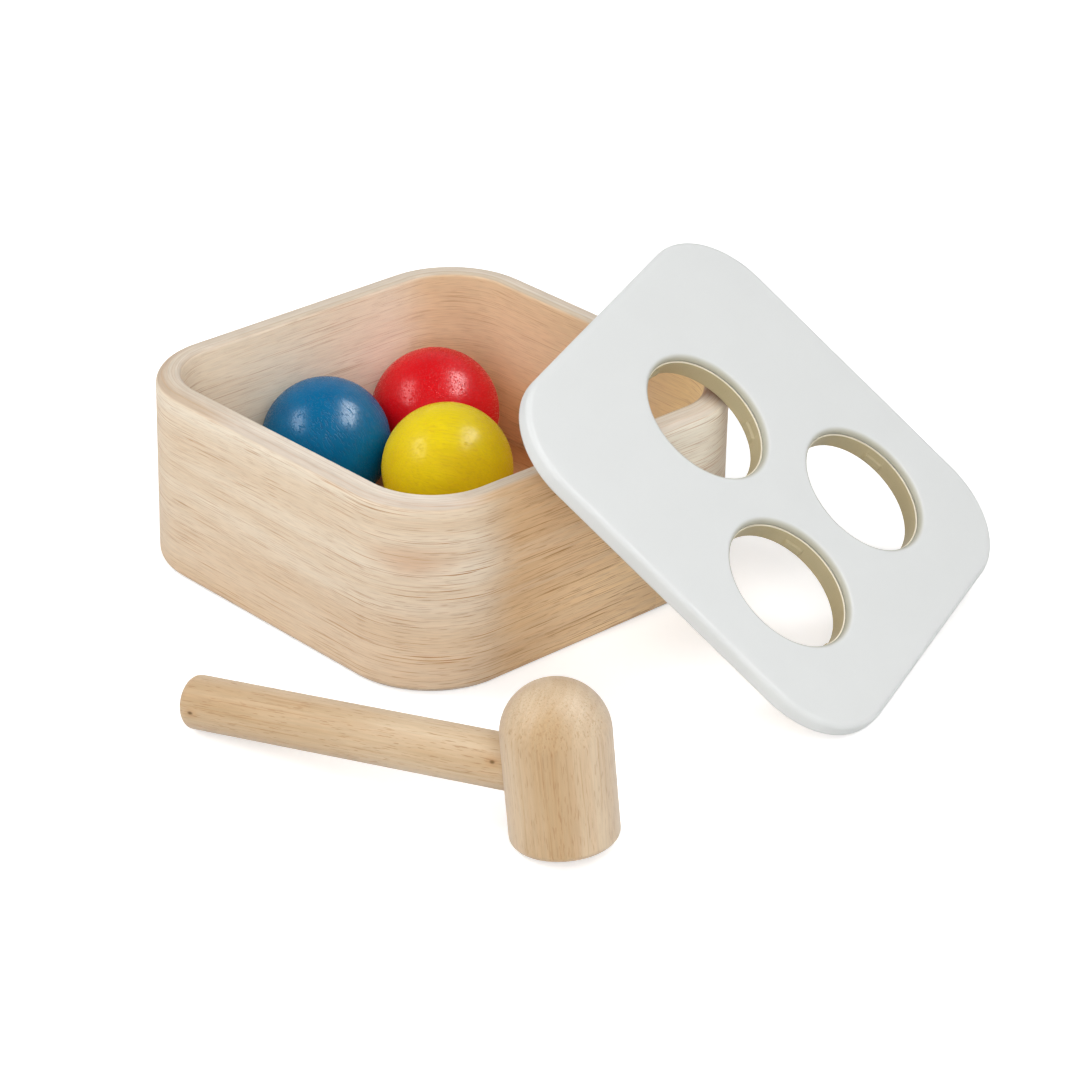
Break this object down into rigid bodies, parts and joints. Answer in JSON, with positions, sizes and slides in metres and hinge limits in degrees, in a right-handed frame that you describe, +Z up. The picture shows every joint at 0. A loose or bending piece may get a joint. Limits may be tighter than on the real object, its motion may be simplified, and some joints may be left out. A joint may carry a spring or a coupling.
{
  "type": "ball pounding box",
  "caption": "Bent-wood toy box with a white holed lid leaning on its rim, coloured wooden balls inside and a wooden hammer that strikes the balls down through the lid's lined holes.",
  "frame": {"origin": "middle of the box's flat underside", "axes": "+Z up; the box's walls lie along X and Y; the lid leans on the +X wall, and the hammer lies off the +X, -Y corner"},
  "size_m": [0.2832, 0.3062, 0.1171],
  "materials": {
    "box_wood": "pale laminated wood, clear matt finish",
    "floor_wood": "pale wood board, clear matt finish",
    "lid_paint": "white satin paint over a wood board",
    "register_wood": "pale wood board, clear matt finish",
    "liner": "khaki moulded ring, satin",
    "blue_stain": "blue stain, satin lacquer",
    "red_stain": "red stain, satin lacquer",
    "yellow_stain": "yellow stain, satin lacquer",
    "hammer_wood": "pale turned wood, satin lacquer"
  },
  "bodies": {
    "box": {"box_wall": "box_wood", "floor_panel": "floor_wood"},
    "lid": {"lid_panel": "lid_paint", "lid_register": "register_wood", "hole_liner_upper": "liner", "hole_liner_far": "liner", "hole_liner_near": "liner"},
    "blue_ball": {"ball_blue": "blue_stain"},
    "red_ball": {"ball_red": "red_stain"},
    "yellow_ball": {"ball_yellow": "yellow_stain"},
    "hammer": {"hammer_head": "hammer_wood", "hammer_handle": "hammer_wood"}
  },
  "joints": [
    {"name": "lid_lift", "type": "slide", "parent": "box", "child": "lid", "axis": [0, 0, 1], "range_m": [0, 0.12]},
    {"name": "blue_ball_lift", "type": "slide", "parent": "box", "child": "blue_ball", "axis": [0, 0, 1], "range_m": [0, 0.1]},
    {"name": "red_ball_lift", "type": "slide", "parent": "box", "child": "red_ball", "axis": [0, 0, 1], "range_m": [0, 0.1]},
    {"name": "yellow_ball_lift", "type": "slide", "parent": "box", "child": "yellow_ball", "axis": [0, 0, 1], "range_m": [0, 0.1]},
    {"name": "hammer_lift", "type": "slide", "parent": "box", "child": "hammer", "axis": [0, 0, 1], "range_m": [0, 0.15]}
  ]
}
